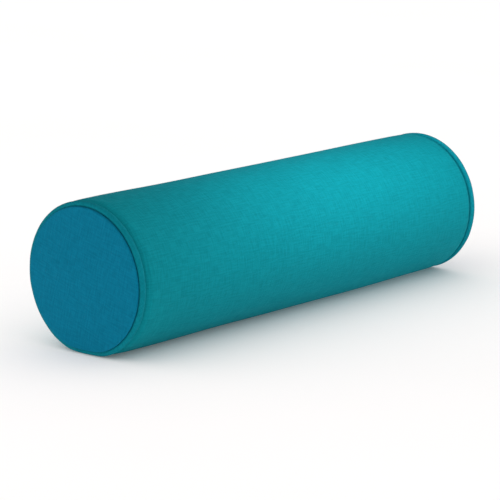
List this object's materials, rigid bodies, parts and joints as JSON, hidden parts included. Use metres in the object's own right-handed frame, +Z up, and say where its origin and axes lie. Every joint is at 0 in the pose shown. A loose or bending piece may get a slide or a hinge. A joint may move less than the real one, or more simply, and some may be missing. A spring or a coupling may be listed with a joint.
{
  "type": "bolster pillow",
  "caption": "Round piped bolster cushion with a linen-weave cover, a long zip along its back and a lined foam insert inside.",
  "frame": {"origin": "on the surface that the bolster rests on, below its middle", "axes": "+X along the bolster to its right end, +Y towards the zipped back, +Z up"},
  "size_m": [0.548, 0.153, 0.1504],
  "materials": {
    "cover_fabric": "matte",
    "end_panel_fabric": "matte",
    "piping_fabric": "matte",
    "cotton_cord": "matte",
    "liner_cotton": "matte",
    "fibre_wadding": "matte",
    "core_foam": "matte",
    "zip_tape": "matte",
    "zip_coil": "satin",
    "zip_metal": "satin"
  },
  "bodies": {
    "cushion": {"body_panel": "cover_fabric", "end_panel_left": "end_panel_fabric", "end_panel_right": "end_panel_fabric", "piping_cover_left": "piping_fabric", "piping_cover_right": "piping_fabric", "piping_cord_left": "cotton_cord", "piping_cord_right": "cotton_cord", "liner_body": "liner_cotton", "liner_end_left": "liner_cotton", "liner_end_right": "liner_cotton", "wadding_wrap": "fibre_wadding", "wadding_end_left": "fibre_wadding", "wadding_end_right": "fibre_wadding", "foam_core": "core_foam", "zip_tape_upper": "zip_tape", "zip_tape_lower": "zip_tape", "zip_coil_upper": "zip_coil", "zip_coil_lower": "zip_coil", "zip_top_stop_upper": "zip_metal", "zip_top_stop_lower": "zip_metal", "zip_bottom_stop": "zip_metal"},
    "slider": {"zip_slider": "zip_metal"},
    "pull": {"zip_pull": "zip_metal"}
  },
  "joints": [
    {"name": "zip_slide", "type": "slide", "parent": "cushion", "child": "slider", "axis": [1, 0, 0], "range_m": [0, 0.426]},
    {"name": "pull_flip", "type": "hinge", "parent": "slider", "child": "pull", "pos_m": [-0.213, 0.07425, 0.09376], "axis": [0, -0.2588, 0.9659], "range_deg": [0, 184]}
  ]
}
